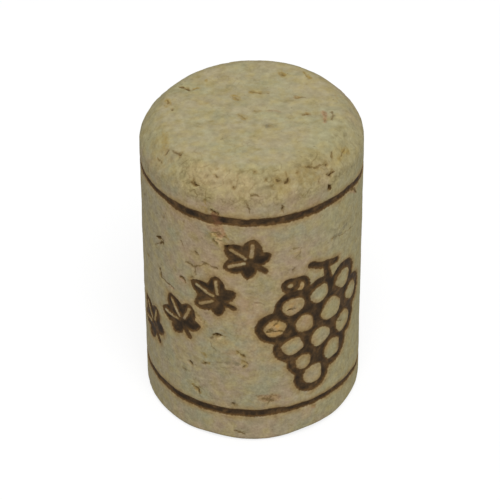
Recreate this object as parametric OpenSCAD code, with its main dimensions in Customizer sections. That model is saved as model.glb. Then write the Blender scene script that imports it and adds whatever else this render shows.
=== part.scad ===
// Natural cork stopper with a chamfered crown and marks burnt into its side.
// It stands on its foot, with +Z up and its front toward -Y. A place on the side is
// given in millimetres, first round the side to the right of the front, then up from
// the middle of the panel between the two burnt bands.

/* [Stopper] */
// Diameter of the straight side
side_d = 25; // [20:0.5:32]
// Height from the foot to the flat of the crown
stopper_h = 38; // [36:0.5:55]
// Radius of the worn edge round the foot
foot_round = 0.7; // [0.2:0.1:1.5]

/* [Crown] */
// Width that the chamfer takes off the radius
chamfer_w = 2.2; // [1.5:0.1:4]
// Height that the chamfer takes off the side
chamfer_h = 2.5; // [1.5:0.1:4]
// Radius that softens both edges of the chamfer
crown_round = 2.4; // [0.5:0.1:2.4]

/* [Burnt bands] */
// Depth to which the hot iron sinks every mark
burn_depth = 0.15; // [0.05:0.01:0.5]
// Width of both bands
band_w = 1; // [0.5:0.1:2]
// Distance from the flat of the crown down to the middle of the upper band
band_below_crown = 5.5; // [5:0.1:8]
// Distance from the foot up to the middle of the lower band
band_above_foot = 4.4; // [3:0.1:6]

/* [Bunch of grapes] */
// Distance of the bunch's middle to the right of the front
bunch_right = 8.2; // [7:0.1:14]
// Radius of the bare cork inside each grape
grape_r = 1.3; // [0.8:0.05:1.5]
// Width of the burnt ring round each grape
grape_ring = 1; // [0.6:0.05:1.5]
// Distance between neighbours in a row of grapes
grape_pitch = 3.8; // [3.2:0.05:4.5]
// Width of the stalk and of the stem that joins it to the bunch
stalk_w = 0.9; // [0.4:0.05:1.2]
// Outer radius of the tendril's small loop
small_loop_r = 1.1; // [1:0.05:1.4]
// Outer radius of the tendril's large loop
large_loop_r = 1.5; // [1.2:0.05:2]
// Width of the tendril's line
tendril_w = 0.75; // [0.4:0.05:0.85]

/* [Vine leaves] */
// Number of leaves that climb beside the bunch
leaf_count = 4; // [2:1:5]
// Distance of the row's middle to the left of the front
leaves_left = 6.2; // [5:0.1:10]
// Distance along the row from leaf to leaf
leaf_pitch = 6.9; // [5.5:0.1:8]
// Length of a leaf's middle lobe
leaf_l = 3.6; // [3:0.1:4.5]
// Width of the middle lobe
lobe_w = 2.4; // [1.8:0.1:3]
// Length of the leaf stalk, from where the veins meet
leaf_stalk_l = 2.1; // [1.8:0.1:3]
// Width of the leaf stalk
leaf_stalk_w = 0.65; // [0.4:0.05:1]
// Width of the veins, which are left bare
vein_w = 0.44; // [0.2:0.02:0.5]

/* [Hidden] */
$fn = 96;

cork = [0.62, 0.55, 0.42];
burnt = [0.25, 0.19, 0.14];

side_r = side_d / 2;
burnt_r = side_r - burn_depth;

// Every cutter for a mark starts inside the cork and ends this far outside it.
cut_margin = 1;
cut_from = side_r / 2;
cut_to = side_r + cut_margin;

upper_band_z = stopper_h - band_below_crown;
lower_band_z = band_above_foot;
panel_z = (upper_band_z + lower_band_z) / 2;

// The rows of the bunch from the top down. Each gives its number of grapes, its height
// in the panel, and how far its middle lies to the right of the bunch's middle.
grape_rows = [[3, 1.7, 0.1], [4, -1.5, 0], [3, -4.6, 0.1], [2, -7.3, -0.1], [1, -9.8, -1]];
grape_places = [
    for (row = grape_rows)
        for (i = [0 : row[0] - 1])
            [bunch_right + row[2] + (i - (row[0] - 1) / 2) * grape_pitch, row[1]]
];

bunch_middle = [bunch_right, 0];

// Where the stem leaves the stalk, from the bunch's middle, then the strokes of the bent
// stalk and of the stem, from there.
stem_top = [0.8, 5.7];
stalk_bend = [-0.7, 0.1];
stalk_strokes = [[[-2, 0.8], stalk_bend], [stalk_bend, [1.6, -0.4]], [[0, 0], [0.5, -2.7]]];

// The middle of the tendril's large loop, from the bunch's middle, and that of the small
// loop from there.
large_loop = [-2.9, 4];
small_loop = [-0.95, 0.45];

// The row of leaves climbs to the right at this angle in its middle, and grows steeper
// on a curve of this radius. The leaves point across it and tilt to alternate sides.
row_middle = [-leaves_left, 0];
row_climb = 47;
row_bend = 40;
leaf_tilt = 10;

// The lobes of a leaf: their angle from the middle lobe, and their share of its size.
leaf_lobes = [[0, 1], [58, 0.9], [-58, 0.9], [118, 0.7], [-118, 0.7]];
// The first three have a vein, which runs between these shares of the lobe's length.
veined_lobes = 3;
vein_from = 0.2;
vein_to = 0.78;

// The direction of an angle, as a vector of length 1.
function heading(angle) = [cos(angle), sin(angle)];

// The climb of the row of leaves, and its place on the side, at a distance past its middle.
function climb_at(distance) = row_climb + distance / row_bend * 180 / PI;
function place_at(distance) =
    row_middle + row_bend * (heading(climb_at(distance) - 90) - heading(row_climb - 90));

// What rounding takes off a corner. Its two edges leave it at the angles given.
module corner_tip(corner, edge_1, edge_2, round) {
    half = abs(edge_2 - edge_1) / 2;
    reach = round / tan(half);
    difference() {
        polygon([corner, corner + reach * heading(edge_1), corner + reach * heading(edge_2)]);
        translate(corner + round / sin(half) * heading((edge_1 + edge_2) / 2))
            circle(round);
    }
}

// Half of the stopper's section, from its axis to its side.
module half_section() {
    slope = atan2(chamfer_h, chamfer_w);
    difference() {
        polygon([
            [0, 0],
            [side_r, 0],
            [side_r, stopper_h - chamfer_h],
            [side_r - chamfer_w, stopper_h],
            [0, stopper_h]
        ]);
        corner_tip([side_r, 0], 90, 180, foot_round);
        corner_tip([side_r, stopper_h - chamfer_h], 180 - slope, 270, crown_round);
        corner_tip([side_r - chamfer_w, stopper_h], 180, 360 - slope, crown_round);
    }
}

module blank() {
    rotate_extrude()
        half_section();
}

// Stands a flat outline on the side and pushes it through the surface. Its x then runs
// to the right and its y up. A longer one reaches past the others at both ends.
module through_side(place, longer = 0) {
    rotate([90, 0, place.x / side_r * 180 / PI])
        translate([0, panel_z + place.y, cut_from - longer])
            linear_extrude(cut_to - cut_from + 2 * longer)
                children();
}

// A straight stroke from one point to another, round where it starts.
module stroke(from, to, width) {
    along = to - from;
    translate(from)
        rotate(atan2(along.y, along.x))
            translate([0, -width / 2])
                square([norm(along), width]);
    translate(from)
        circle(width / 2);
}

// The grooves of the two bands, which run right round the side.
module bands() {
    for (z = [lower_band_z, upper_band_z])
        translate([0, 0, z - band_w / 2])
            rotate_extrude()
                translate([burnt_r, 0])
                    square([cut_to - burnt_r, band_w]);
}

// Grapes with burnt rings that run together, and the cork inside each left bare.
module bunch() {
    difference() {
        for (place = grape_places)
            through_side(place)
                circle(grape_r + grape_ring);
        for (place = grape_places)
            through_side(place, cut_margin)
                circle(grape_r);
    }
}

// The bent stalk across the top of the bunch, and the stem below it.
module stalk() {
    through_side(bunch_middle + stem_top)
        for (ends = stalk_strokes)
            stroke(ends[0], ends[1], stalk_w);
}

// The tendril that curls beside the stalk: a large loop that ends in a small one.
module tendril() {
    through_side(bunch_middle + large_loop)
        difference() {
            union() {
                difference() {
                    circle(large_loop_r);
                    circle(large_loop_r - tendril_w);
                }
                translate(small_loop)
                    circle(small_loop_r);
            }
            translate(small_loop)
                circle(small_loop_r - tendril_w);
        }
}

// A pointed lobe from the origin to the right: what two equal arcs enclose.
module lobe(share) {
    length = leaf_l * share;
    width = lobe_w * share;
    arc_r = (length * length + width * width) / 4 / width;
    intersection_for (side = [-1, 1])
        translate([length / 2, side * (arc_r - width / 2)])
            circle(arc_r);
}

// A vine leaf that points to the right, from where its veins meet.
module leaf() {
    difference() {
        for (turn_and_share = leaf_lobes)
            rotate(turn_and_share[0])
                lobe(turn_and_share[1]);
        for (i = [0 : veined_lobes - 1])
            rotate(leaf_lobes[i][0])
                translate([leaf_l * vein_from, -vein_w / 2])
                    square([leaf_l * (vein_to * leaf_lobes[i][1] - vein_from), vein_w]);
    }
    translate([-leaf_stalk_l, -leaf_stalk_w / 2])
        square([leaf_stalk_l, leaf_stalk_w]);
}

// The leaves, evenly spaced along the row.
module leaves() {
    for (i = [0 : leaf_count - 1]) {
        distance = (i - (leaf_count - 1) / 2) * leaf_pitch;
        through_side(place_at(distance))
            rotate(climb_at(distance) + 90 + (i % 2 == 0 ? leaf_tilt : -leaf_tilt))
                leaf();
    }
}

module marks() {
    difference() {
        union() {
            bunch();
            stalk();
            tendril();
            leaves();
        }
        cylinder(h = stopper_h, r = burnt_r);
    }
}

module cork_stopper() {
    difference() {
        color(cork)
            blank();
        color(burnt)
            bands();
        color(burnt)
            marks();
    }
}

cork_stopper();
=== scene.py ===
from math import atan2, cos, degrees, hypot, pi, radians, sin

import bpy
import numpy as np
from mathutils import Matrix, Vector, noise


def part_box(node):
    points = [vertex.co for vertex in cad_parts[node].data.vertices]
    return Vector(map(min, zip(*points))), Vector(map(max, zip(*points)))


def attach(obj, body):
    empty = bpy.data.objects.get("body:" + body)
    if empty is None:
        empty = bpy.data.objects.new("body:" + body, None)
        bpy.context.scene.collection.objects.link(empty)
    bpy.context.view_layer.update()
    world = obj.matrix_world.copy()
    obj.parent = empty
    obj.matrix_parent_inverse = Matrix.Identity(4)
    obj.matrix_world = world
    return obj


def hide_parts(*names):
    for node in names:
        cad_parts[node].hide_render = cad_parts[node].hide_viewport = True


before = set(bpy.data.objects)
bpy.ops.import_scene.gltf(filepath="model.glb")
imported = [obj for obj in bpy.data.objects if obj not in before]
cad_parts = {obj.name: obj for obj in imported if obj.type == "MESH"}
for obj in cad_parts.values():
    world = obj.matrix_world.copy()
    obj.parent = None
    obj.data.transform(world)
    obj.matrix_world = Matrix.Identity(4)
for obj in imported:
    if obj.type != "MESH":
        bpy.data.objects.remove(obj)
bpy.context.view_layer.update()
stopperLow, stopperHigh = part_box("cork_stopper")
mm = 0.001             # in metres, the unit of the frame


def hexToLinear(text):
    # an sRGB hex value as the linear colour that a socket takes
    channels = [int(text[i:i + 2], 16) / 255 for i in (1, 3, 5)]
    linear = [c / 12.92 if c <= 0.04045 else ((c + 0.055) / 1.055) ** 2.4 for c in channels]
    return (*linear, 1)


def addNode(tree, kind, sockets=None, **settings):
    # adds a node; each socket takes a plain value or the output of another node
    node = tree.nodes.new(kind)
    for name, value in settings.items():
        setattr(node, name, value)
    for name, value in (sockets or {}).items():
        if isinstance(value, bpy.types.NodeSocket):
            tree.links.new(value, node.inputs[name])
        else:
            node.inputs[name].default_value = value
    return node


# The blank: punched from the bark, then ground. Sizes in mm, as in the CAD part.
blank = {
    "sideR": (stopperHigh.x - stopperLow.x) / 2 / mm,
    "height": (stopperHigh.z - stopperLow.z) / mm,
    "footRound": 0.7,
    "chamferW": 2.2,
    "chamferH": 2.5,
    "crownRound": 2.4,
    "gridStep": 0.2,       # between neighbours in the mesh, round and up
    "stepsPerMm": 10000,   # points that round to the same of these steps become one
    "crownTilt": 0.3,      # the crown was ground out of square, so it is higher on the right
    "crownTiltFrom": 28,   # height from which that shows
    # where round the foot is worn away, how far that reaches round it and how much is gone
    "footWear": [(6.5, 5, 0.35), (17, 12, 0.28), (-4.5, 4, 0.15), (-28, 9, 0.2)],
    "wearIn": 4,           # how far in from the side that reaches, and how far up
    "wearUp": 6,
}
sideR = blank["sideR"]
height = blank["height"]


def heading(angle):
    return np.array([cos(radians(angle)), sin(radians(angle))])


def roundedCorner(corner, edge1, edge2, radius, count=16):
    # the arc that rounds a corner, from the edge at the larger angle to the other
    half = (edge1 - edge2) / 2
    outward = (edge1 + edge2) / 2 + 180
    centre = np.array(corner) - radius / sin(radians(half)) * heading(outward)
    turns = np.linspace(-1, 1, count) * (90 - half)
    return [centre + radius * heading(outward + turn) for turn in turns]


def sectionPoints():
    # the section from the foot's flat up to the crown's, evenly spaced, as radius and height
    slope = degrees(atan2(blank["chamferH"], blank["chamferW"]))
    shoulder = (sideR, height - blank["chamferH"])
    rim = (sideR - blank["chamferW"], height)
    corners = roundedCorner((sideR, 0), 180, 90, blank["footRound"])
    corners += roundedCorner(shoulder, 270, 180 - slope, blank["crownRound"])
    corners += roundedCorner(rim, 360 - slope, 180, blank["crownRound"])
    corners = np.array(corners)
    walked = np.append(0, np.cumsum(np.hypot(*np.diff(corners, axis=0).T)))
    steps = np.linspace(0, walked[-1], round(walked[-1] / blank["gridStep"]) + 1)
    return np.column_stack([np.interp(steps, walked, corners[:, 0]),
                            np.interp(steps, walked, corners[:, 1])])


section = sectionPoints()


def discGrid(count, radius, level):
    # a square grid bent into a disc, so that its spacing is even right up to the rim
    across = np.linspace(-1, 1, count + 1)
    a, b = np.meshgrid(across, across, indexing="ij")
    wide = np.abs(a) > np.abs(b)
    long = np.where(wide, a, b)
    short = np.where(wide, b, a)
    angle = pi / 4 * short / np.where(long == 0, 1, long)
    angle = np.where(wide, angle, pi / 2 - angle)
    x = radius * long * np.cos(angle)
    y = radius * long * np.sin(angle)
    return np.stack([x, y, np.full_like(x, level)], axis=-1)


def gridFaces(rows, columns, start, closed):
    # four-sided faces over a grid of points; a closed one joins its last column to its first
    index = np.arange(rows * columns).reshape(rows, columns) + start
    if closed:
        index = np.column_stack([index, index[:, 0]])
    return np.stack([index[:-1, :-1], index[:-1, 1:], index[1:, 1:], index[1:, :-1]],
                    axis=-1).reshape(-1, 4)


def blankGrid():
    # points in mm and faces of the smooth blank: its wall and its two flats, joined
    perSide = round(2 * pi * sideR / blank["gridStep"] / 4)
    turn = np.arange(4 * perSide) * pi / 2 / perSide
    wall = np.stack([section[:, :1] * np.cos(turn), section[:, :1] * np.sin(turn),
                     np.repeat(section[:, 1:], len(turn), axis=1)], axis=-1)
    foot = discGrid(perSide, section[0, 0], section[0, 1])
    crown = discGrid(perSide, section[-1, 0], section[-1, 1])
    flat = perSide + 1
    faces = np.concatenate([
        gridFaces(len(section), len(turn), 0, True),
        gridFaces(flat, flat, wall.size // 3, False),
        gridFaces(flat, flat, (wall.size + foot.size) // 3, False)[:, ::-1],
    ])
    points = np.concatenate([part.reshape(-1, 3) for part in (wall, foot, crown)])
    keys = np.round(points * blank["stepsPerMm"]).astype(int)
    _, first, merged = np.unique(keys, axis=0, return_index=True, return_inverse=True)
    return points[first], merged.reshape(-1)[faces]


points, faces = blankGrid()
print("blank:", round(2 * sideR, 2), "x", round(height, 2), "mm,", len(points), "points")

# The marks: places on the side are mm round to the right of the front, then mm up.
marks = {
    "wander": 0.13,        # how far their edges stray, and how far more in fine lumps
    "fineWander": 0.05,
    "wallW": 0.5,          # nothing further in from the side than this is burnt
    "kept": (-2, 3),       # the distances from their edges that are told apart
}
bands = {
    # places round, each with the height of the band's middle and its width
    "upper": [(-39, 32.5, 0.9), (-24, 32.6, 0.7), (-17, 32.65, 0.65), (-11, 32.65, 0.7),
              (-9, 32.45, 1.1), (-4.5, 32.42, 1.15), (-3, 32.5, 1), (5, 32.5, 1),
              (12.5, 32.4, 0.75), (14, 32.1, 0.7), (16, 31.8, 0.7), (18, 31.75, 0.7),
              (20.5, 31.95, 0.7), (26, 32.4, 0.85), (39, 32.5, 0.9)],
    "lower": [(-39, 4.4, 0.9), (-24, 4.4, 0.7), (-15, 4.45, 0.7), (-9, 4.4, 0.95),
              (2, 4.45, 1), (4, 4.4, 0.85), (10.5, 4.3, 0.8), (13, 4.05, 0.75), (15.5, 3.65, 0.7),
              (17.5, 3.5, 0.7), (20, 3.6, 0.7), (25, 4.15, 0.8), (30, 4.4, 0.9), (39, 4.4, 0.9)],
}
bunch = {
    "middle": (8.2, 18.45),
    # the window of each grape: its place from the bunch's middle, and its radius
    "grapes": [(-3.5, 1.3, 1.25), (-0.1, 1.8, 1.25), (3.7, 1.85, 1.3),
               (-5.65, -1.35, 1.25), (-2, -1.8, 1.2), (1.75, -1.45, 1.55), (5.7, -1.45, 1.25),
               (-3.6, -4.65, 1.3), (0.1, -4.6, 1.35), (3.9, -4.55, 1.3),
               (-2.2, -7.25, 1.05), (2, -7.45, 1.35), (-1, -9.85, 1.4)],
    "ring": 1,
    "uneven": 0.3,         # how far the windows are off their circles
    "ringBlend": 0.3,      # how far the corners fill in where rings, loops and stalks meet
    "loopBlend": 0.15,
    "stalkBlend": 0.2,
    "stalk": [(-1.2, 6.5), (0.1, 5.8), (2.4, 5.3)],
    "stem": [(0.8, 5.7), (1.3, 3)],
    "stalkW": 0.9,
    "loops": [(-2.9, 4, 1.5), (-3.85, 4.45, 1.1)],
    "tendrilW": 0.75,
}
leaves = {
    "count": 4,
    "rowMiddle": (-6.2, 18.45),
    "climb": 47,           # of the row at its middle, in degrees
    "rowBend": 40,         # radius of the row's curve
    "pitch": 6.9,
    "tilt": 10,            # to alternate sides
    "lobes": [(0, 1), (58, 0.9), (-58, 0.9), (118, 0.7), (-118, 0.7)],    # angle, share of size
    "length": 3.6,
    "lobeW": 2.4,
    "stalkL": 2.1,
    "stalkW": 0.65,
    "veinW": 0.44,
    "veinReach": (0.2, 0.78),    # shares of a lobe's length where a vein starts and ends
    "veined": 3,           # lobes that have one
    "blend": 0.2,          # how far the corners between lobes and stalk fill in
}

# Smooth random fields that the marks and the cork follow: the size of their lumps in mm,
# and a seed. One that shifts places uses this seed and the next two, one for each axis.
clouds = {
    "edgesUp": (1.8, 1),
    "fineEdgesUp": (0.6, 2),
    "edgesRound": (1.8, 3),
    "fineEdgesRound": (0.6, 4),
    "windows": (1.3, 7),
    "torn": (0.9, 5),
    "finelyTorn": (0.35, 41),
    "drift": (5, 51),
    "pitEdges": (0.45, 8),
    "crackStrength": (1.1, 9),
    "sway": (6, 10),
    "lumps": (1.6, 11),
    "grain": ((0.7, 0.45, 0.7), 12),
    "crumbs": (1, 13),
    "fineCrumbs": (0.42, 14),
    "crumbling": (3.5, 20),
    "crevices": (1, 30),
    "fineCrevices": (0.45, 31),
    "rimCrevices": (1.2, 32),
    "loneCrevices": (2.4, 33),
}
seedStep = 17.3            # how many lumps apart the fields of two seeds lie
farAway = 9.0              # mm, where a search for the nearest outline or flaw starts


def cloud(places, name, axis=0):
    # the value of a smooth random field at each place, from -1 to 1
    size, seed = clouds[name]
    inLumps = places / np.array(size) + seedStep * (seed + axis)
    return np.array([noise.noise(Vector(place)) for place in inLumps])


def ramp(values, start, full):
    # eases from 0 at the start to 1 at the full value, which may be the lower of the two
    share = np.clip((values - start) / (full - start), 0, 1)
    return share * share * (3 - 2 * share)


def bothOf(a, b):
    return np.maximum(a, b)


def eitherOf(a, b, blend):
    # the nearer of two outlines, with the corner between them filled as scorching fills it
    share = np.clip(0.5 + (b - a) / 2 / blend, 0, 1)
    return b + (a - b) * share - blend * share * (1 - share)


def strokeDistance(u, z, start, end, width):
    # to a straight stroke with round ends
    along = np.subtract(end, start)
    u = u - start[0]
    z = z - start[1]
    share = np.clip((u * along[0] + z * along[1]) / (along @ along), 0, 1)
    return np.hypot(u - share * along[0], z - share * along[1]) - width / 2


def bandDistance(u, z, places):
    around, middles, widths = np.array(places).T
    return np.abs(z - np.interp(u, around, middles)) - np.interp(u, around, widths) / 2


def bunchDistance(u, z):
    u = u - bunch["middle"][0]
    z = z - bunch["middle"][1]
    rings = np.full(len(u), farAway)
    windows = np.full(len(u), farAway)
    uneven = bunch["uneven"] * cloud(np.column_stack([u, z, np.zeros(len(u))]), "windows")
    for across, up, windowR in bunch["grapes"]:
        fromMiddle = np.hypot(u - across, z - up)
        rings = eitherOf(rings, fromMiddle - windowR - bunch["ring"], bunch["ringBlend"])
        windows = np.minimum(windows, fromMiddle - windowR + uneven)
    nearest = bothOf(rings, -windows)
    halfW = bunch["tendrilW"] / 2
    for across, up, outerR in bunch["loops"]:
        ringR = outerR - halfW
        fromMiddle = np.hypot(u - across, z - up)
        nearest = eitherOf(nearest, np.abs(fromMiddle - ringR) - halfW, bunch["loopBlend"])
    nearest = bothOf(nearest, ringR - halfW - fromMiddle)      # the last loop stays open inside
    for start, end in (bunch["stalk"][:2], bunch["stalk"][1:], bunch["stem"]):
        stroke = strokeDistance(u, z, start, end, bunch["stalkW"])
        nearest = eitherOf(nearest, stroke, bunch["stalkBlend"])
    return nearest


def lobeDistance(x, y, share):
    # a pointed lobe to the right: what two equal arcs enclose
    length = leaves["length"] * share
    width = leaves["lobeW"] * share
    arcR = (length ** 2 + width ** 2) / 4 / width
    return np.hypot(x - length / 2, np.abs(y) + arcR - width / 2) - arcR


def leafDistance(u, z, place, angle):
    x = (u - place[0]) * cos(radians(angle)) + (z - place[1]) * sin(radians(angle))
    y = (z - place[1]) * cos(radians(angle)) - (u - place[0]) * sin(radians(angle))
    blade = np.full(len(x), farAway)
    veins = np.full(len(x), farAway)
    for i, (turn, share) in enumerate(leaves["lobes"]):
        along = x * cos(radians(turn)) + y * sin(radians(turn))
        aside = y * cos(radians(turn)) - x * sin(radians(turn))
        blade = eitherOf(blade, lobeDistance(along, aside, share), leaves["blend"])
        if i < leaves["veined"]:
            reach = np.array(leaves["veinReach"]) * leaves["length"] * (1, share)
            vein = strokeDistance(along, aside, (reach[0], 0), (reach[1], 0), leaves["veinW"])
            veins = np.minimum(veins, vein)
    stalk = strokeDistance(x, y, (-leaves["stalkL"], 0), (0, 0), leaves["stalkW"])
    return eitherOf(bothOf(blade, -veins), stalk, leaves["blend"])


def leavesDistance(u, z):
    nearest = np.full(len(u), farAway)
    for i in range(leaves["count"]):
        walked = (i - (leaves["count"] - 1) / 2) * leaves["pitch"]
        climb = leaves["climb"] + degrees(walked / leaves["rowBend"])
        bend = leaves["rowBend"] * (heading(climb - 90) - heading(leaves["climb"] - 90))
        tilt = leaves["tilt"] if i % 2 == 0 else -leaves["tilt"]
        leaf = leafDistance(u, z, leaves["rowMiddle"] + bend, climb + 90 + tilt)
        nearest = np.minimum(nearest, leaf)
    return nearest


def burntDistance(places):
    # mm from each place to the edge of the nearest burnt mark, and less than 0 within one
    u = np.arctan2(places[:, 0], -places[:, 1]) * sideR
    u = u + marks["wander"] * cloud(places, "edgesRound")
    u = u + marks["fineWander"] * cloud(places, "fineEdgesRound")
    z = places[:, 2] + marks["wander"] * cloud(places, "edgesUp")
    z = z + marks["fineWander"] * cloud(places, "fineEdgesUp")
    nearest = np.minimum(bandDistance(u, z, bands["upper"]), bandDistance(u, z, bands["lower"]))
    nearest = np.minimum(nearest, bunchDistance(u, z))
    nearest = np.minimum(nearest, leavesDistance(u, z))
    wall = np.hypot(places[:, 0], places[:, 1]) > sideR - marks["wallW"]
    least, most = marks["kept"]
    return np.where(wall, np.clip(nearest, least, most), most)


burnt = burntDistance(points)
print("marks:", int((burnt < 0).sum()), "points are burnt")

# What the cork itself shows, in mm. On the side, places are as for the marks; on the
# crown they are to the right and to the back of its middle.
sideCracks = [
    # the points of a crack, then how open and dark it is
    ([(-12.75, 25.85), (-12.1, 26.1), (-11.7, 26.3), (-11.45, 26.05), (-11.5, 25.75)], 0.9),
    ([(-11.95, 25.6), (-12.1, 25.2)], 0.8),
    ([(-12.1, 25.15), (-12.7, 24.7), (-13.1, 24.3)], 0.4),
    ([(-8.75, 22.5), (-8.35, 22.5), (-8.1, 22.35), (-7.95, 22.1)], 0.8),
    ([(-12.2, 21.4), (-12.05, 20.8), (-12, 20.2)], 0.8),
    ([(-12, 20.2), (-11.4, 20.35), (-10.9, 20.25), (-10.3, 20.3), (-9.9, 20.05)], 0.7),
    ([(-7.9, 30.9), (-8, 30.3)], 0.5),
    ([(-8.6, 27.65), (-8.1, 26.95)], 0.4),
    ([(-5.6, 26.05), (-5.4, 26), (-4.8, 25.7), (-4.1, 25.6)], 0.6),
    ([(-5.4, 26), (-5.85, 25.4), (-6.3, 25.1), (-6.5, 24.6), (-6.65, 23.8)], 0.55),
    ([(-7.9, 25), (-7.1, 25.05)], 0.5),
    ([(-7.1, 25.05), (-6.8, 24.8), (-6.5, 24.65)], 0.4),
    ([(-6, 11.05), (-5.5, 11.1), (-5.1, 11.25)], 0.6),
    ([(-5.1, 11.3), (-3.6, 11.9), (-1.5, 12)], 0.2),
    ([(-1.7, 13.9), (-1.35, 13.5), (-1, 13.1)], 0.5),
    ([(-1.2, 12.5), (-0.8, 12.3), (-0.55, 11.95)], 0.4),
    ([(4.6, 28.1), (5.4, 28), (5.5, 27), (4.7, 26.8)], 0.3),
    ([(9.8, 27.2), (11.5, 26.8), (14.4, 26.2)], 0.35),
    ([(-2.1, 1.4), (-1, 1.3)], 0.8),
    ([(0.6, 7), (2.6, 6.8)], 0.45),
    ([(1.1, 6.6), (2.3, 6.1)], 0.45),
    ([(2.1, 7), (1.6, 5.8)], 0.4),
    ([(-5.3, 34.8), (-5, 34.2)], 0.3),
    ([(-4.5, 33.75), (-4.2, 33.5), (-3.85, 33.3)], 1),
    ([(13.3, 32), (14.2, 31.4), (14.7, 30.7)], 0.8),
    ([(1.6, 16.7), (2.1, 17), (2.35, 16.95), (2.5, 16.75), (3.2, 16.65), (3.5, 16.35)], 0.85),
    ([(2.4, 17.5), (2.7, 17.65), (2.95, 18.05)], 0.8),
    ([(4, 19.5), (4.8, 19.45)], 0.9),
    ([(10.9, 14.6), (11.6, 14)], 0.5),
    ([(9.2, 35), (9.4, 34.3)], 1),
    ([(3.3, 34.3), (3.5, 33.6)], 0.8),
    ([(-0.5, 34.9), (-0.3, 33.9)], 0.5),
    ([(0.3, 21.2), (1.2, 21)], 0.3),
    ([(-4.5, 15.7), (-4.1, 15.97), (-3.65, 15.82)], 1),
    ([(-4.9, 15.05), (-4.6, 15.35), (-4.45, 15.7)], 0.5),
    ([(-3.6, 15.8), (-3.2, 15.6), (-2.8, 15.7)], 0.4),
    ([(-4.85, 14.5), (-4.6, 13.9), (-4.3, 13.6)], 0.3),
    ([(-4.35, 29.6), (-4.2, 29.3), (-3.8, 29)], 0.5),
    ([(-3.6, 29.65), (-3.4, 29.6)], 0.5),
    ([(-3.1, 30.4), (-2.75, 30.15)], 0.6),
    ([(-2.75, 30.15), (-1.9, 29.7)], 0.25),
    ([(-7.1, 6.9), (-6.6, 6.8), (-6.4, 7)], 0.6),
    ([(-6.6, 6.8), (-6.4, 6.1)], 0.8),
]
sidePits = [
    # a pit's place, then its radius
    (-4.1, 15.8, 0.2), (-0.9, 11.6, 0.14), (-5.65, 11.05, 0.14), (-7.5, 10.3, 0.18), (-6.7, 6.7, 0.2),
    (-2.2, 5.7, 0.18), (-8.5, 8.9, 0.12), (-1, 13.15, 0.1), (-2.85, 28.75, 0.17), (-3.9, 29.8, 0.1),
    (-4.15, 33.5, 0.14), (3.4, 33.9, 0.18), (9.3, 34.5, 0.22), (4.6, 25.2, 0.12), (7.4, 3.4, 0.13),
    (-14.4, 34.2, 0.15), (6.9, 12.4, 0.1), (-16, 29.5, 0.12), (15.2, 23.4, 0.12),
    (-6.45, 27, 0.12), (-11.3, 29.45, 0.13), (-15.1, 21.3, 0.12), (-7, 23.3, 0.1),
]
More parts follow.
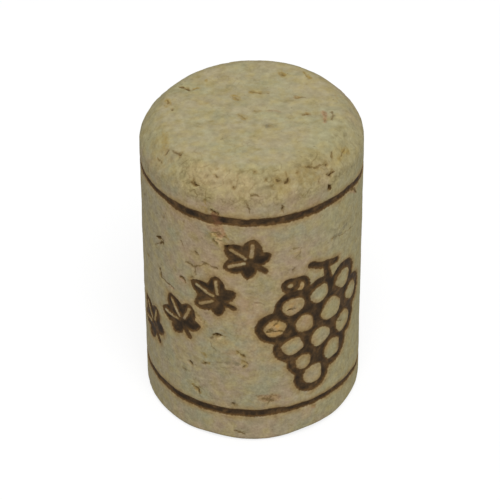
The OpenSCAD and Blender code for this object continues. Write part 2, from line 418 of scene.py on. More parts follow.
sideTints = {
    # for each tint the ends of its stains, their radius and their strength; the pale tint's ones are
    # painted highlights instead
    "ochre": [
        ((-5.35, 34.8), (-5, 34.2), 0.3, 0.7),
        ((-5.3, 33.65), (-5.1, 33.5), 0.4, 1),
        ((-3.75, 33.1), (-3.3, 33.05), 0.3, 1),
        ((-4.9, 30.5), (-4.6, 29.9), 0.35, 0.6),
        ((-5.2, 25.4), (-4.8, 24), 0.5, 0.4),
        ((-7.1, 25), (-5.2, 25.8), 0.6, 0.45),
        ((-12.3, 20.9), (-12.2, 20), 0.35, 0.6),
        ((-4.4, 30.2), (-3.6, 30.4), 0.4, 0.9),
        ((-3.1, 30.6), (-2.8, 30.1), 0.4, 0.8),
        ((-4.3, 29.4), (-3.7, 29), 0.35, 0.8),
        ((-7, 6.9), (-6.4, 6.3), 0.45, 0.9),
        ((-6, 11.1), (-5.1, 11.2), 0.35, 0.7),
        ((-5.8, 12.6), (-5.5, 12), 0.35, 0.8),
        ((-1.7, 13.8), (-1, 13.1), 0.35, 0.7),
        ((-1.2, 12.5), (-0.7, 11.6), 0.4, 0.8),
        ((-3.6, 16.6), (-2.9, 16.3), 0.35, 0.5),
        ((6.5, 31.9), (6.7, 31.2), 0.3, 0.7),
        ((4.3, 27.8), (5.2, 27.4), 0.35, 0.6),
        ((9.6, 27.1), (9.9, 27.2), 0.35, 0.7),
        ((-15, 35), (-8, 35.3), 1.5, 0.3),
        ((3.2, 17.7), (3.4, 17.3), 0.5, 0.5),
    ],
    "rusty": [
        ((-4.1, 33), (-3.7, 31.8), 0.6, 1),
        ((-3.8, 31.9), (-3.65, 30.8), 0.9, 1.3),
        ((-4.8, 31.4), (-4.3, 30.9), 0.6, 0.7),
        ((-10.4, 19.9), (-9.8, 20), 0.3, 0.6),
        ((1.1, 6.7), (2.7, 6.5), 0.8, 0.6),
        ((7.4, 3.5), (7.4, 3.4), 0.5, 1),
        ((13.4, 31.9), (14.5, 30.9), 0.5, 0.8),
        ((4.9, 32.4), (5.6, 32.6), 0.3, 0.5),
        ((-8.6, 22.4), (-7.9, 22), 0.5, 0.5),
    ],
    "scar": [
        ((-4.1, 33.1), (-3.8, 32), 0.6, 1),
        ((4.9, 32.4), (5.6, 32.6), 0.3, 0.5),
    ],
    # painted highlights: the bright spots where light catches the relief of these crumbly patches,
    # painted as pale cork
    "paleAndHighlight": [
        ((-3.7, 30), (-3.5, 29.95), 0.35, 0.9),
        ((-4, 29.55), (-3.9, 29.45), 0.35, 1),
        ((-3.45, 29.4), (-3.4, 28.9), 0.4, 1),
        ((-4.5, 30.2), (-4.1, 29.95), 0.25, 0.7),
        ((-6.7, 17.5), (-6, 16.9), 0.5, 0.6),
        ((-4.4, 15.4), (-3.8, 15.3), 0.3, 0.5),
    ],
    "brown": [
        ((7.4, 3.4), (7.4, 3.4), 0.4, 0.5),
    ],
    "soot": [
        ((-2.9, 11.95), (-1.8, 12), 0.45, 1),
        ((10.3, 27.1), (12.2, 27.6), 0.45, 1),
        ((-2.1, 5.9), (-2, 5.8), 0.45, 0.6),
        ((-2.3, 16), (-1, 14.8), 1.8, 0.2),
    ],
    "tan": [
        ((4, 20), (7, 9), 2.8, 0.3),
        ((-6.9, 17.7), (-5.9, 16.9), 0.9, 0.5),
        ((2.55, 17.1), (2.55, 17.1), 1.7, 1),
        ((4.75, 19.7), (4.75, 19.7), 1.6, 0.55),
        ((6.2, 16.6), (6.2, 16.6), 1.5, 0.35),
        ((5.7, 22.6), (5.7, 22.6), 1, 0.8),
        ((-6.7, 6.6), (-6.7, 6.6), 0.6, 0.8),
        ((5, 27.4), (5, 27.4), 0.7, 0.3),
        ((-6, 24), (1, 20), 4.5, 0.2),
        ((-1, 20), (2, 14), 3.5, 0.3),
        ((-3.8, 15), (-2.4, 14), 1.5, 0.35),
    ],
}
broadTints = {
    "moss": [
        ((14, 2), (14, 34), 8, 1),
        ((32, 6), (28, 30), 7, 0.7),
        ((-30, 12), (-34, 28), 7, 0.8),
        ((-25, 36), (-18, 36.3), 3, 1),
    ],
    "rose": [
        ((-7, 31), (-3, 25), 3.5, 1),
        ((-5, 34), (6, 34), 2.2, 0.8),
    ],
    "ash": [
        ((-16, 2), (-16, 29), 7, 1),
        ((24, 4), (22, 20), 5, 0.6),
        ((-38, 4), (-36, 16), 6, 0.7),
        ((-7, 9.5), (-5, 9), 2.5, 0.6),
        ((4.5, 1.5), (6, 7), 3, 0.7),
    ],
}
crownTints = {
    # a paler patch at the crown's front, in the tone that paints the side's highlights
    "paleAndHighlight": [
        ((-6, -9.3), (-1, -11.3), 1.8, 0.3),
    ],
    "ochre": [
        ((-7.1, 4.9), (-5.7, 5), 0.4, 0.8),
        ((-5.2, 5.6), (-5.1, 6.4), 0.35, 0.7),
        ((0.1, 3.9), (1.9, 3.7), 0.4, 0.9),
        ((-2.1, 3.2), (-1.4, 2.6), 0.55, 1),
        ((3.2, 7.3), (3.6, 7), 0.45, 0.9),
        ((6, 7.5), (6.5, 6.4), 0.4, 1),
        ((-9.4, 2.9), (-9.3, 1.8), 0.6, 0.9),
        ((-1.2, -0.4), (-0.7, -0.9), 0.6, 0.8),
        ((0.4, 0.4), (1.4, 0.3), 0.35, 0.7),
        ((-5.8, 2), (-5.2, 2.1), 0.6, 0.5),
        ((-9.5, -3.2), (-9.4, -5), 0.7, 0.7),
        ((9.6, -6.4), (10.3, -5.2), 0.6, 0.9),
        ((3.2, -11), (6.8, -9.2), 1.6, 0.6),
        ((8, -8.2), (9.9, -5.8), 1.4, 0.4),
        ((-10.5, -4), (-9, -8), 1.8, 0.5),
        ((-4.4, -1.2), (-4.2, -1.3), 0.35, 0.5),
        ((-7.6, -2.6), (-7.5, -2.7), 0.35, 0.5),
    ],
    "rusty": [
        ((8, -0.2), (8, -2), 0.35, 0.8),
        ((1.9, 0.3), (3.4, 0.1), 0.35, 0.35),
    ],
    "brown": [
        ((3, -10.8), (6.5, -9), 1.6, 0.22),
        ((5, 2.8), (5.3, 2.8), 0.4, 0.9),
        ((5.8, -0.5), (6.2, -0.5), 0.4, 0.8),
    ],
    "soot": [
        ((1.9, -2.4), (2.4, -2.6), 0.6, 1),
        ((8.8, -0.2), (8.8, -1.7), 0.3, 1),
        ((3, -10.8), (6.5, -9), 1.6, 0.35),
        ((-8.2, 0.8), (-7.4, -1), 1.5, 0.15),
        ((-2.6, 5), (-1.9, 5.05), 0.5, 0.7),
        ((-3.3, 1.5), (-2.7, 1.5), 0.45, 0.5),
    ],
}
sideCrumbs = [
    # the ends of a crumbling patch, its radius and its strength
    ((-4, 30.3), (-3.5, 29.2), 1, 1),
    ((-6.9, 17.7), (-5.9, 16.9), 1.1, 0.8),
    ((-4.6, 34), (-3.9, 33.2), 0.6, 0.8),
    ((-0.5, 22.7), (0.6, 22.8), 0.5, 0.5),
    ((-6.7, 6.7), (-6.7, 6.7), 0.5, 0.7),
    ((1.2, 6.6), (2.4, 6.4), 0.6, 0.6),
    ((-4.4, 15.5), (-3.4, 15.7), 0.6, 0.5),
    ((4.8, 27.8), (5.3, 27), 0.7, 0.4),
    ((-1.6, 1.5), (-1.2, 1.4), 0.5, 0.5),
    ((-5.8, 22.8), (-4.9, 25.4), 0.6, 0.3),
]
crownCracks = [
    ([(-8, 5.25), (-7.3, 4.75), (-6.9, 4.6)], 0.8),
    ([(-6.9, 4.6), (-6, 4.9)], 0.3),
    ([(0, 4), (0.9, 3.7), (1.9, 3.6)], 0.3),
    ([(0.2, 0.3), (1.2, 0.5), (3.2, 0.2)], 0.25),
    ([(8, -0.2), (8, -2)], 0.25),
    ([(8.8, -0.1), (8.8, -1.8)], 0.4),
    ([(-2.1, 3.2), (-1.4, 2.5)], 0.35),
    ([(3.2, 7.4), (3.7, 6.9)], 0.4),
    ([(6, 7.6), (6.2, 6.7)], 0.4),
    ([(-9.4, 2.9), (-9.3, 2.2)], 0.5),
    ([(-1.3, -0.3), (-0.6, -1.1)], 0.3),
    ([(5.8, -0.5), (6.4, -0.5)], 0.35),
    ([(5.1, 2.8), (6, 2.6)], 0.35),
    ([(5.6, -9.2), (6.2, -9), (6.8, -8.8), (7.6, -8.2)], 0.55),
    ([(8.1, -8.8), (8.9, -8.2)], 0.8),
    ([(8.6, -7.1), (8.8, -6.5)], 0.6),
    ([(9.7, -6.2), (10.2, -5.3)], 0.6),
    ([(-6.6, -9.9), (-5.8, -10.4)], 0.7),
    ([(-10.3, -5.7), (-9.8, -6.5)], 0.5),
    ([(-8.6, -6.1), (-7.8, -6.8)], 0.5),
    ([(0, -12), (0.7, -12.1)], 0.6),
]
crownPits = [
    (-7.3, 4.85, 0.17), (5.1, 2.8, 0.1), (5.9, -0.5, 0.1), (2.1, -2.5, 0.1), (3.5, 7.1, 0.09),
    (-8.9, 1, 0.1), (9.5, 2.9, 0.08), (-7.7, -6.9, 0.14), (-3.7, -9.6, 0.12), (-3.9, -10.3, 0.12),
    (-6.2, -10.1, 0.16), (0.5, -10.1, 0.12), (1.4, -11, 0.13), (2.9, -10.9, 0.14), (3.8, -10.7, 0.18),
    (3.7, -10.2, 0.12), (5.1, -9.9, 0.15), (6.3, -9, 0.13), (8, -8, 0.17), (8.7, -7, 0.14),
    (8.5, -8.5, 0.24), (-9.3, -5.7, 0.13), (2.2, -11.5, 0.13), (7.3, -9.7, 0.13), (-2, -11.4, 0.12),
]
pitShape = {
    # each pit of the lists is stretched at random into a short trough
    "seed": 5,
    "reach": 1.3,          # of its ends from its middle at most, in radii
    "share": 0.8,          # of its radius that it keeps
}
bark = {
    # random flaws where the lists above don't reach
    "seed": 11,
    "channels": 75,        # lenticels: dark channels that run from front to back
    "channelR": (0.08, 0.24),
    "channelReach": (0.3, 1.6),
    "channelSlant": 0.12,
    "cracks": 42,          # along the growth layers, which stand parallel to the front
    "crackReach": (0.4, 2),
    "crackOpen": (0.25, 0.8),
    "crackBend": 0.25,
    "wayOnFoot": (1, 0.15, 0),    # which way the cracks run there
    "wayOnSide": (0.2, 0.15, 1),
    "footTop": 0.01,       # what lies lower is the flat of the foot
    "listedU": 18,         # the lists cover the side up to this far round from the front
    "listedZ": 35,         # and all that lies above this height
}
flaws = {
    "torn": 0.25,          # how far outlines are torn, and how far more in fine lumps
    "finelyTorn": 0.12,
    "drift": 3,            # how far the broad tints stray
    "tintCore": 0.45,      # share of a tint's radius where it is at its strongest
    "pitUneven": 0.5,      # how much a pit's radius and a crack's strength vary
    "crackUneven": 0.4,
    "crackReach": (0.4, 0.12),    # how near a crack shows, and shows at its strongest
    "crackKept": 2,        # distances from the cracks and pits are told apart up to these
    "pitKept": 1,
    "crackW": 0.27,        # of the dark line, where a crack is fully open
    "hairW": 0.01,         # of the finest one
}
crumbling = {
    # the crown's rim crumbles where it is further out and higher than this, from start to full
    "radial": (9.3, 10.3),
    "level": (33.8, 35.4),
    "even": 0.8,           # how much of it does, and how much that varies
    "uneven": 0.9,
    "around": 1.5,         # where round the rim it crumbles most, and how far that reaches
    "reach": 16,
    "elsewhere": 0.3,      # the share of it that crumbles beyond
}
crevices = {
    # fine dark creases that run where a random field passes through 0
    "fineShare": 0.5,      # how much of the fine field is added to that one
    "onRim": (-0.25, 0.15),    # values of a second field where they open, from start to full
    "alone": (0.2, 0.45),
    "aloneOpen": 0.3,      # how far they open away from the rim
    "width": 0.17,         # of the dark line, in the field's own values
}
endFaces = {
    "upright": (0.35, 0.95),    # how upright the surface faces where they start and are full
    "grainLost": 0.7,      # the share of the grain that they don't show
}


def onSide(u, z):
    # a place on the side as a point in mm
    return np.array([sideR * sin(u / sideR), -sideR * cos(u / sideR), z])


def onCrown(x, y):
    crownRows = section[:, 1] > height / 2
    level = np.interp(-hypot(x, y), -section[crownRows, 0], section[crownRows, 1])
    return np.array([x, y, level])


def listedFlaws():
    # each crack as its points and how open it is, and each pit as its two ends and its radius
    cracks = [([onSide(*place) for place in line], opened) for line, opened in sideCracks]
    cracks += [([onCrown(*place) for place in line], opened) for line, opened in crownCracks]
    middles = [(onSide(u, z), radius) for u, z, radius in sidePits]
    middles += [(onCrown(x, y), radius) for x, y, radius in crownPits]
    draw = np.random.default_rng(pitShape["seed"])
    pits = []
    for middle, radius in middles:
        reach = draw.uniform(-pitShape["reach"], pitShape["reach"], 3) * radius
        pits.append((middle - reach, middle + reach, radius * pitShape["share"]))
    return cracks, pits


def fromLine(places, start, end):
    # how each place lies from the nearest point of a straight line
    along = end - start
    squared = max(along @ along, 1e-9)      # not 0 where both ends are one point
    share = np.clip((places - start) @ along / squared, 0, 1)
    return places - start - share[:, None] * along


def patchShare(places, side, crown=()):
    # how strongly each place lies in the patches, which fade out at their edges
    patches = [(onSide(*start), onSide(*end), *rest) for start, end, *rest in side]
    patches += [(onCrown(*start), onCrown(*end), *rest) for start, end, *rest in crown]
    total = np.zeros(len(places))
    for start, end, radius, amount in patches:
        distance = np.linalg.norm(fromLine(places, start, end), axis=1)
        total = np.maximum(total, amount * ramp(distance, radius, radius * flaws["tintCore"]))
    return total


def barkFlaws(surface):
    # the same through random points of the surface, kept off the listed part
    draw = np.random.default_rng(bark["seed"])
    unlisted = np.abs(np.arctan2(surface[:, 0], -surface[:, 1])) * sideR > bark["listedU"]
    unlisted |= surface[:, 2] < bark["footTop"]
    unlisted &= surface[:, 2] < bark["listedZ"]
    unlisted = surface[unlisted]
    cracks = []
    for _ in range(bark["cracks"]):
        place = unlisted[draw.integers(len(unlisted))]
        reach = draw.uniform(*bark["crackReach"])
        way = bark["wayOnFoot"] if place[2] < bark["footTop"] else bark["wayOnSide"]
        way = way * draw.choice([-1, 1], 3) * reach
        bend = place + draw.uniform(-bark["crackBend"], bark["crackBend"], 3)
        cracks.append(([place - way, bend, place + way], draw.uniform(*bark["crackOpen"])))
    pits = []
    slant = bark["channelSlant"]
    for _ in range(bark["channels"]):
        place = unlisted[draw.integers(len(unlisted))]
        reach = draw.uniform(*bark["channelReach"])
        way = np.array([draw.uniform(-slant, slant), 1, draw.uniform(-slant, slant)]) * reach
        pits.append((place - way, place + way, draw.uniform(*bark["channelR"])))
    return cracks, pits


def vertexNormals(places, quads):
    # which way the surface faces at each point, from the faces round it
    corners = places[quads]
    facing = np.cross(corners[:, 2] - corners[:, 0], corners[:, 3] - corners[:, 1])
    total = np.zeros_like(places)
    for corner in range(4):
        np.add.at(total, quads[:, corner], facing)
    return total / np.linalg.norm(total, axis=1)[:, None]


def offsets(places, name):
    return flaws[name] * np.stack([cloud(places, name, axis) for axis in range(3)], axis=1)


def ragged(places):
    # shifts places at random, so that what is drawn through them is torn and never straight
    return places + offsets(places, "torn") + offsets(places, "finelyTorn")


def corkFlaws(places, normals):
    # the distance to the nearest crack, less than 0 on one side of it, how open that is, and
    # the distance to the nearest pit
    cracks, pits = listedFlaws()
    moreCracks, morePits = barkFlaws(places)
    jagged = ragged(places)
    nearest = np.full(len(places), farAway)
    side = np.full(len(places), farAway)
    strength = np.zeros(len(places))
    for line, opened in cracks + moreCracks:
        for start, end in zip(line, line[1:]):
            offset = fromLine(jagged, start, end)
            distance = np.linalg.norm(offset, axis=1)
            across = np.einsum("ij,ij->i", np.cross(end - start, normals), offset)
            closer = distance < nearest
            nearest[closer] = distance[closer]
            side[closer] = (np.where(across < 0, -1, 1) * distance)[closer]
            strength[closer] = opened
    pit = np.full(len(places), farAway)
    lumpy = 1 + flaws["pitUneven"] * cloud(places, "pitEdges")
    for start, end, radius in pits + morePits:
        distance = np.linalg.norm(fromLine(jagged, start, end), axis=1)
        pit = np.minimum(pit, distance - radius * lumpy)
    strength *= 1 + flaws["crackUneven"] * cloud(places, "crackStrength")
    strength *= ramp(nearest, *flaws["crackReach"])
    side = np.clip(side, -flaws["crackKept"], flaws["crackKept"])
    return side, strength, np.clip(pit, -flaws["pitKept"], flaws["pitKept"])


def crumbledShare(places, radial, around):
    # how much each place crumbles: most on the rim of the crown, round its front
    share = ramp(radial, *crumbling["radial"]) * ramp(places[:, 2], *crumbling["level"])
    share *= np.clip(crumbling["even"] + crumbling["uneven"] * cloud(places, "crumbling"), 0, 1)
    near = ramp(np.abs(around - crumbling["around"]), crumbling["reach"], crumbling["reach"] / 2)
    share *= crumbling["elsewhere"] + (1 - crumbling["elsewhere"]) * near
    return np.maximum(share, patchShare(places, sideCrumbs))


def creviceFields(places, crumbly):
    # the field whose 0 is a crevice, and how open that is
    field = cloud(places, "crevices") + crevices["fineShare"] * cloud(places, "fineCrevices")
    onRim = crumbly * ramp(cloud(places, "rimCrevices"), *crevices["onRim"])
    alone = crevices["aloneOpen"] * ramp(cloud(places, "loneCrevices"), *crevices["alone"])
    return field, np.maximum(onRim, alone)


def tintShares(places):
    # how strongly each tint colours each place
    torn = ragged(places)
    strayed = places + offsets(places, "drift")
    shares = {name: patchShare(torn, stains, crownTints.get(name, ()))
              for name, stains in sideTints.items()}
    return shares | {name: patchShare(strayed, patches) for name, patches in broadTints.items()}


normals = vertexNormals(points, faces)
radial = np.hypot(points[:, 0], points[:, 1])
around = np.arctan2(points[:, 0], -points[:, 1]) * sideR
crackSide, crackOpen, pit = corkFlaws(points, normals)
crumbly = crumbledShare(points, radial, around)
crevice, creviceOpen = creviceFields(points, crumbly)
endFace = ramp(np.abs(normals[:, 2]), *endFaces["upright"])
print("cork:", int((pit < 0).sum()), "points in pits,", int((crackOpen > 0).sum()), "by cracks")

# What the material reads at each point. The places beside a crack or a crevice are given
# in widths of its dark line.
corkFields = {
    "burnt": burnt,
    "crackAway": crackSide / (flaws["hairW"] + flaws["crackW"] * crackOpen),
    "crackOpen": crackOpen,
    "pit": pit,
    "crumbly": crumbly,
    "endFace": endFace,
    "creviceAway": crevice / crevices["width"],
    "creviceOpen": creviceOpen,
    "grainy": 1 - endFaces["grainLost"] * endFace,
    **tintShares(points),
}

relief = {
    # what stands out: its height in mm, and the value of its field that is level
    "sway": (0.06, 0),
    "lumps": (0.03, 0),
    "grain": (0.014, 0),
    "crumbs": (0.07, 0.4),
    "fineCrumbs": (0.05, 0.2),
    # what is sunk: its depth in mm, then the distances where it starts and is at its deepest
    "burn": (0.15, 0.1, -0.15),
    "crack": (0.17, 0.22, 0.03),
    "crevice": (0.11, 0.2, 0),
    "pit": (0.4, 0.12, -0.2),
}


def corkSurface():
    # the blank with its relief, its tilted crown and its worn foot
    lift = np.zeros(len(points))
    for name, where in (("sway", 1), ("lumps", 1), ("grain", 1), ("crumbs", crumbly),
                        ("fineCrumbs", crumbly)):
        tall, level = relief[name]
        lift += where * tall * (cloud(points, name) - level)
    for name, where, away in (("burn", 1, burnt), ("crack", crackOpen, np.abs(crackSide)),
                              ("crevice", creviceOpen, np.abs(crevice)), ("pit", 1, pit)):
        deep, start, full = relief[name]
        lift -= deep * where * ramp(away, start, full)
    places = points + lift[:, None] * normals
    share = places[:, 0] / sideR
    places[:, 2] += blank["crownTilt"] * share * ramp(points[:, 2], blank["crownTiltFrom"], height)
    edge = ramp(radial, sideR - blank["wearIn"], sideR)
    for middle, reach, most in blank["footWear"]:
        worn = most * ramp(np.abs(around - middle), reach, 0) * edge
        places[:, 2] += worn * ramp(points[:, 2], blank["wearUp"], 0)
    places[:, 2] = np.maximum(places[:, 2], 0)
    return places


def makeStopper(material):
    mesh = bpy.data.meshes.new("corkStopper")
    mesh.from_pydata((corkSurface() * mm).tolist(), [], faces.tolist())
    mesh.shade_smooth()
    mesh.materials.append(material)
    for name, values in corkFields.items():
        mesh.attributes.new(name, "FLOAT", "POINT").data.foreach_set("value", values)
    stopper = bpy.data.objects.new("corkStopper", mesh)
    bpy.context.scene.collection.objects.link(stopper)
    return stopper


# Natural cork, ground but not sealed: quite matt, in soft patches of tan, moss and ash, with
# growth layers that show as streaks on the crown and as upright lines on the flanks. The marks
# were scorched in with a hot iron: near black where it pressed, brown at their edges, and
# with a tan halo where only the heat reached.
corkLook = {
    # random patterns: the size of their lumps in mm, how fine they go, and the stretch of their
    # values that is spread over 0 to 1. The growth layers stand parallel to the front.
    "patterns": {
        "patches": ((5, 3, 5.5), 3, 0.3, 0.7),
        "straw": (1.3, 5, 0.4, 0.7),
        "streaks": ((3.2, 0.7, 5), 3, 0.25, 0.75),
        "smears": ((1.5, 1.2, 1.5), 3, 0.5, 0.7),
        "mottle": (0.8, 5, 0.25, 0.75),
        "smudge": (0.8, 4, 0.3, 0.62),
        # this pattern raises the crumbs bump and also colours the crumbs along it, darker in its
        # hollows as painted shade
        "crumbs": (0.7, 5, 0.3, 0.7),
        # where light crumbs and the painted highlights of the crumbling relief fall
        "lightCrumbsAndHighlights": (0.4, 2, 0.6, 0.72),
        "rust": (0.6, 3, 0.3, 0.7),
        "specks": (0.5, 2, 0.69, 0.76),
        "broken": (0.4, 3, 0.25, 0.5),
        # cork cells are a tenth of this and too fine to show: this is as coarse as it needs
        "grain": (0.28, 3, 0.25, 0.75),
        "heat": (1.8, 3, 0.28, 0.6),
        "scorch": (1.2, 5, 0.3, 0.7),
        "edge wander": (0.3, 2, 0, 1),
    },
    "patternRoughness": 0.55,    # how strong their finer lumps are
    # colours, one for each layer below or several along the pattern of the same name
    "tones": {
        "patches": [(0.15, "#938D71"), (0.4, "#978B70"), (0.6, "#9A8A70"), (0.8, "#9C8970")],
        "straw": "#A0915F",
        "moss": "#999270",
        "ash": "#978D72",
        "rose": "#9E886D",
        "end face": "#989472",
        "olive": "#8A7B4A",
        # olive crumbs along the crumbs pattern, which is also their bump: darker where it sinks and
        # lighter where it rises, so painted shade and painted highlight over the crumbs' own olive
        "crumbs": [(0.1, "#776A40"), (0.4, "#8A7D54"), (0.8, "#988B60")],
        "tan": "#AE8953",
        "ochre": "#8F783D",
        "rust": [(0.15, "#7F5A40"), (0.5, "#9A7254"), (0.85, "#AC8868")],
        # light crumbs of cork, and partly painted highlights: the glints of the crumbling relief laid
        # in as colour
        "lightCrumbsAndHighlights": "#B5A87A",
        "brown": "#85693C",
        "soot": "#6D6650",
        "dirt": "#6B5839",
        "crevice": "#6E5D37",
        "crack edge": "#80693C",
        "crack": "#4E3A1E",
        "pit": "#4F3B1F",
        "warmed": "#A08A5D",
        "heated": "#8B734B",
        "scorch edge": "#573F21",
        "scorch": [(0.15, "#2C2115"), (0.5, "#3C2D1B"), (0.85, "#574127")],
        "scar": "#6B4830",
        # the pale tone of the painted highlights on crumbly spots, also used for a paler patch on the
        # crown
        "paleAndHighlight": "#C2A77C",
    },
    # patterns that also lighten and darken it, how strongly, and a value that multiplies them
    "shades": [("mottle", 0.27, "everywhere"), ("grain", 0.24, "grainy"),
               ("streaks", 0.035, "everywhere")],
    "layers": [
        # from the bottom up: a tone, the value that it follows and where that starts to show it
        # and shows the most of it, how much that is, and a value that this is multiplied by
        ("moss", "moss", 0, 1, 0.8, "everywhere"),
        ("ash", "ash", 0, 1, 0.9, "everywhere"),
        ("rose", "rose", 0, 1, 0.6, "everywhere"),
        ("end face", "endFace", 0, 1, 0.55, "everywhere"),
        ("straw", "straw", 0, 1, 0.5, "everywhere"),
        ("olive", "endFace", 0.4, 1, 0.45, "smears"),
        # the crumbs' olive, with painted shade in the hollows of their bump and painted light on its
        # tops
        ("crumbs", "crumbly", 0, 1, 0.7, "everywhere"),
        ("tan", "tan", 0, 1, 1, "smudge"),
        ("ochre", "ochre", 0, 1, 0.8, "smudge"),
        ("brown", "brown", 0, 1, 0.8, "smudge"),
        ("soot", "soot", 0, 1, 0.7, "smudge"),
        ("rust", "rusty", 0, 1, 0.65, "everywhere"),
        # light crumbs on the crumbling cork, partly painted highlights
        ("lightCrumbsAndHighlights", "crumbly", 0, 1, 0.4, "lightCrumbsAndHighlights"),
        ("dirt", "specks", 0, 1, 0.5, "everywhere"),
        ("crevice", "creviceAway", 1, 0.15, 0.6, "creviceOpen"),
        # painted highlights on the side's crumbly spots, and the crown's paler patch, broken up by a
        # pattern
        ("paleAndHighlight", "paleAndHighlight", 0, 1, 0.9, "broken"),
        ("warmed", "burnt", 1.1, 0.2, 0.4, "heat"),
        ("heated", "burnt", 0.8, 0, 0.85, "heat"),
        ("crack edge", "crackAway", 3, 0.8, 0.85, "crackOpen"),
        ("crack edge", "pit", 0.25, 0, 0.5, "everywhere"),
        ("crack", "crackAway", 1.3, 0.3, 0.9, "crackOpen"),
        ("pit", "pit", 0.05, -0.06, 0.85, "everywhere"),
        ("scorch edge", "scorched", 0.11, -0.03, 1, "everywhere"),
        ("scorch", "scorched", 0, -0.3, 1, "everywhere"),
        ("scar", "scar", 0, 1, 0.75, "smudge"),
    ],
    # patterns that also roughen the surface, how deep in mm, and a value that multiplies them
    "bumps": [("grain", 0.015, "grainy"), ("crumbs", 0.1, "crumbly")],
    "roughness": 0.88,
    "ior": 1.45,
    "specular": 0.15,      # the open cells of the surface swallow most of the gloss
    "scorchedRoughness": 0.75,
    "scorchedFrom": 0.07,  # mm outside a mark's edge, and as far inside it is all scorched
    "edgeWander": 0.14,    # mm that the scorch strays from a mark's edge
}


def corkValues(tree):
    # what the layers follow: the fields on the mesh and the random patterns
    values = {"everywhere": 1}
    for name in corkFields:
        attribute = addNode(tree, "ShaderNodeAttribute", attribute_name=name)
        values[name] = attribute.outputs["Fac"]
    place = addNode(tree, "ShaderNodeTexCoord").outputs["Object"]
    for i, (name, pattern) in enumerate(corkLook["patterns"].items()):
        size, detail, low, high = pattern
        scaled = addNode(tree, "ShaderNodeMapping", {
            "Vector": place, "Location": (i, i, i), "Scale": np.ones(3) / np.array(size) / mm})
        lumps = addNode(tree, "ShaderNodeTexNoise", {
            "Vector": scaled.outputs["Vector"], "Scale": 1, "Detail": detail,
            "Roughness": corkLook["patternRoughness"]})
        spread = addNode(tree, "ShaderNodeMapRange", {
            "Value": lumps.outputs["Fac"], "From Min": low, "From Max": high})
        values[name] = spread.outputs["Result"]
    for name in ("crackAway", "creviceAway"):
        away = addNode(tree, "ShaderNodeMath", {0: values[name]}, operation="ABSOLUTE")
        values[name] = away.outputs[0]
    broken = addNode(tree, "ShaderNodeMath", {0: values["crackOpen"], 1: values["broken"]},
                     operation="MULTIPLY")
    values["crackOpen"] = broken.outputs[0]
    # less half, so that the edge strays both ways
    wander = addNode(tree, "ShaderNodeMath", {0: values["edge wander"], 1: 0.5},
                     operation="SUBTRACT")
    scorched = addNode(tree, "ShaderNodeMath", {
        0: wander.outputs[0], 1: 2 * corkLook["edgeWander"], 2: values["burnt"]},
        operation="MULTIPLY_ADD")
    values["scorched"] = scorched.outputs[0]
    return values


def corkTones(tree, values):
    # each tone as a plain colour, or as one that changes along its pattern
    tones = {}
    for name, tone in corkLook["tones"].items():
        if isinstance(tone, str):
            tones[name] = hexToLinear(tone)
            continue
        blend = addNode(tree, "ShaderNodeValToRGB", {"Fac": values[name]})
        stops = blend.color_ramp.elements
        for position, colour in tone:
            stops.new(position).color = hexToLinear(colour)
        stops.remove(stops[0])      # the black and the white that it starts with
        stops.remove(stops[-1])
        tones[name] = blend.outputs["Color"]
    return tones


def corkColour(tree, values):
    # the tones laid over each other, then shaded; sockets 0, 6 and 7 of a mix are its factor
    # and its two colours, and 2 is its result
    tones = corkTones(tree, values)
    cork = tones["patches"]
    for tone, follows, low, high, most, within in corkLook["layers"]:
        share = addNode(tree, "ShaderNodeMapRange", {
            "Value": values[follows], "From Min": low, "From Max": high, "To Max": most},
            interpolation_type="SMOOTHSTEP")
        share = addNode(tree, "ShaderNodeMath", {0: share.outputs["Result"], 1: values[within]},
                        operation="MULTIPLY")
        laid = addNode(tree, "ShaderNodeMix", {0: share.outputs[0], 6: cork, 7: tones[tone]},
                       data_type="RGBA")
        cork = laid.outputs[2]
    for name, strength, within in corkLook["shades"]:
        share = addNode(tree, "ShaderNodeMath", {0: values[within], 1: strength},
                        operation="MULTIPLY")
        shaded = addNode(tree, "ShaderNodeMix", {0: share.outputs[0], 6: cork, 7: values[name]},
                         data_type="RGBA", blend_type="SOFT_LIGHT")
        cork = shaded.outputs[2]
    return cork


def corkBump(tree, values):
    # roughness that is too fine for the mesh
    bumps = 0
    for name, depth, within in corkLook["bumps"]:
        deep = addNode(tree, "ShaderNodeMath", {0: values[within], 1: depth},
                       operation="MULTIPLY")
        added = addNode(tree, "ShaderNodeMath", {0: values[name], 1: deep.outputs[0], 2: bumps},
                        operation="MULTIPLY_ADD")
        bumps = added.outputs[0]
    return addNode(tree, "ShaderNodeBump", {"Height": bumps, "Distance": mm, "Strength": 1})


def scorchedCork():
    material = bpy.data.materials.new("natural_cork_ground_and_scorched")
    material.use_nodes = True
    tree = material.node_tree
    tree.nodes.clear()
    values = corkValues(tree)
    cork = corkColour(tree, values)
    bump = corkBump(tree, values)
    rough = addNode(tree, "ShaderNodeMapRange", {
        "Value": values["scorched"],
        "From Min": corkLook["scorchedFrom"], "From Max": -corkLook["scorchedFrom"],
        "To Min": corkLook["roughness"], "To Max": corkLook["scorchedRoughness"]})
    surface = addNode(tree, "ShaderNodeBsdfPrincipled", {
        "Base Color": cork, "Roughness": rough.outputs["Result"], "IOR": corkLook["ior"],
        "Specular IOR Level": corkLook["specular"], "Normal": bump.outputs["Normal"]})
    addNode(tree, "ShaderNodeOutputMaterial", {"Surface": surface.outputs["BSDF"]})
    return material


stopper = makeStopper(scorchedCork())
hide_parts("cork_stopper")
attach(stopper, "root")
print("stopper:", len(stopper.data.vertices), "points")

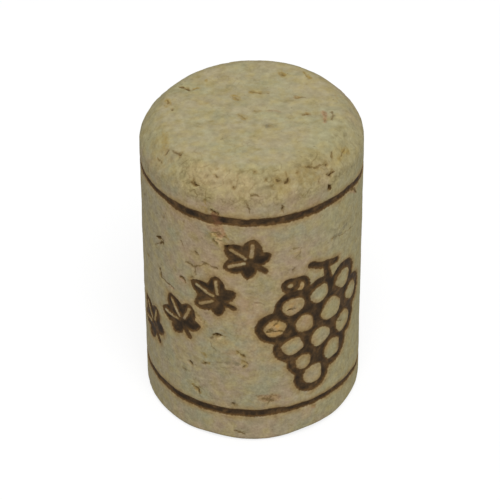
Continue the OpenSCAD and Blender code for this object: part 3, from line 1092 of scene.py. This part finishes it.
# The stage: a white floor, one large soft lamp above and a plain pale sky, in metres.
stage = {
    "floorHalf": 3,        # from its middle to each edge
    "floor": "#CFCFCC",
    "shadowShare": 0.2,    # how much of the lit floor shows through the plain white
    "sky": 0.55,
    "lampPower": 3.3,      # watts
    "lampPlace": (0.045, -0.3, 0.62),
    "lampSize": 0.35,
}
camera = {
    "elevation": 39.46,    # degrees
    "distance": 317.6,     # mm from the stopper's middle
    "picture": 500,        # width of the picture in pixels
    "focal": 2768.2,       # in the same pixels
    "aim": (2.15, -4.15),  # pixels from the picture's middle to the stopper's, right and down
    "roll": -0.29,         # degrees
    "sensor": 36,          # mm
    "nearest": 0.01,       # metres, where its view starts
}
white = (1, 1, 1, 1)


def makeFloor():
    half = stage["floorHalf"]
    mesh = bpy.data.meshes.new("floor")
    corners = [(-half, -half, 0), (half, -half, 0), (half, half, 0), (-half, half, 0)]
    mesh.from_pydata(corners, [], [(0, 1, 2, 3)])
    floor = bpy.data.objects.new("floor", mesh)
    bpy.context.scene.collection.objects.link(floor)
    material = bpy.data.materials.new("white_card_floor")
    material.use_nodes = True
    tree = material.node_tree
    tree.nodes.clear()
    # the camera and reflections see the floor as plain white with a share of its shadow
    path = addNode(tree, "ShaderNodeLightPath")
    seen = path.outputs["Is Camera Ray"]
    for ray in ("Is Glossy Ray", "Is Transmission Ray"):
        either = addNode(tree, "ShaderNodeMath", {0: seen, 1: path.outputs[ray]},
                         operation="MAXIMUM")
        seen = either.outputs[0]
    paper = addNode(tree, "ShaderNodeMix", {0: seen, 6: hexToLinear(stage["floor"]), 7: white},
                    data_type="RGBA")
    card = addNode(tree, "ShaderNodeBsdfDiffuse", {"Color": paper.outputs[2]})
    glow = addNode(tree, "ShaderNodeEmission", {"Color": white, "Strength": 1})
    plain = addNode(tree, "ShaderNodeMath", {0: seen, 1: 1 - stage["shadowShare"]},
                    operation="MULTIPLY")
    mix = addNode(tree, "ShaderNodeMixShader", {
        0: plain.outputs[0], 1: card.outputs[0], 2: glow.outputs[0]})
    addNode(tree, "ShaderNodeOutputMaterial", {"Surface": mix.outputs[0]})
    mesh.materials.append(material)


def makeLight():
    lamp = bpy.data.lights.new("softLamp", "AREA")
    lamp.shape = "DISK"
    lamp.size = stage["lampSize"]
    lamp.energy = stage["lampPower"]
    holder = bpy.data.objects.new("softLamp", lamp)
    holder.location = stage["lampPlace"]
    toStopper = -Vector(stage["lampPlace"])
    holder.rotation_euler = toStopper.to_track_quat("-Z", "Y").to_euler()
    bpy.context.scene.collection.objects.link(holder)
    world = bpy.data.worlds.new("paleSky")
    world.use_nodes = True
    sky = world.node_tree.nodes["Background"]
    sky.inputs["Color"].default_value = white
    sky.inputs["Strength"].default_value = stage["sky"]
    bpy.context.scene.world = world


def makeCamera():
    lens = bpy.data.cameras.new("camera")
    lens.sensor_width = camera["sensor"]
    lens.lens = camera["focal"] / camera["picture"] * camera["sensor"]
    lens.shift_x = -camera["aim"][0] / camera["picture"]
    lens.shift_y = camera["aim"][1] / camera["picture"]
    lens.clip_start = camera["nearest"]
    holder = bpy.data.objects.new("camera", lens)
    tip = radians(camera["elevation"])
    centre = Vector((0, 0, height / 2 * mm))
    toCamera = Vector((0, -cos(tip), sin(tip)))
    roll = Matrix.Rotation(radians(camera["roll"]), 3, "Z")
    turn = toCamera.to_track_quat("Z", "Y").to_matrix() @ roll
    place = centre + toCamera * camera["distance"] * mm
    holder.matrix_world = Matrix.Translation(place) @ turn.to_4x4()
    bpy.context.scene.collection.objects.link(holder)
    bpy.context.scene.camera = holder


makeFloor()
makeLight()
makeCamera()
bpy.context.scene.view_settings.view_transform = "Standard"
print("stage: floor, lamp, sky and camera")
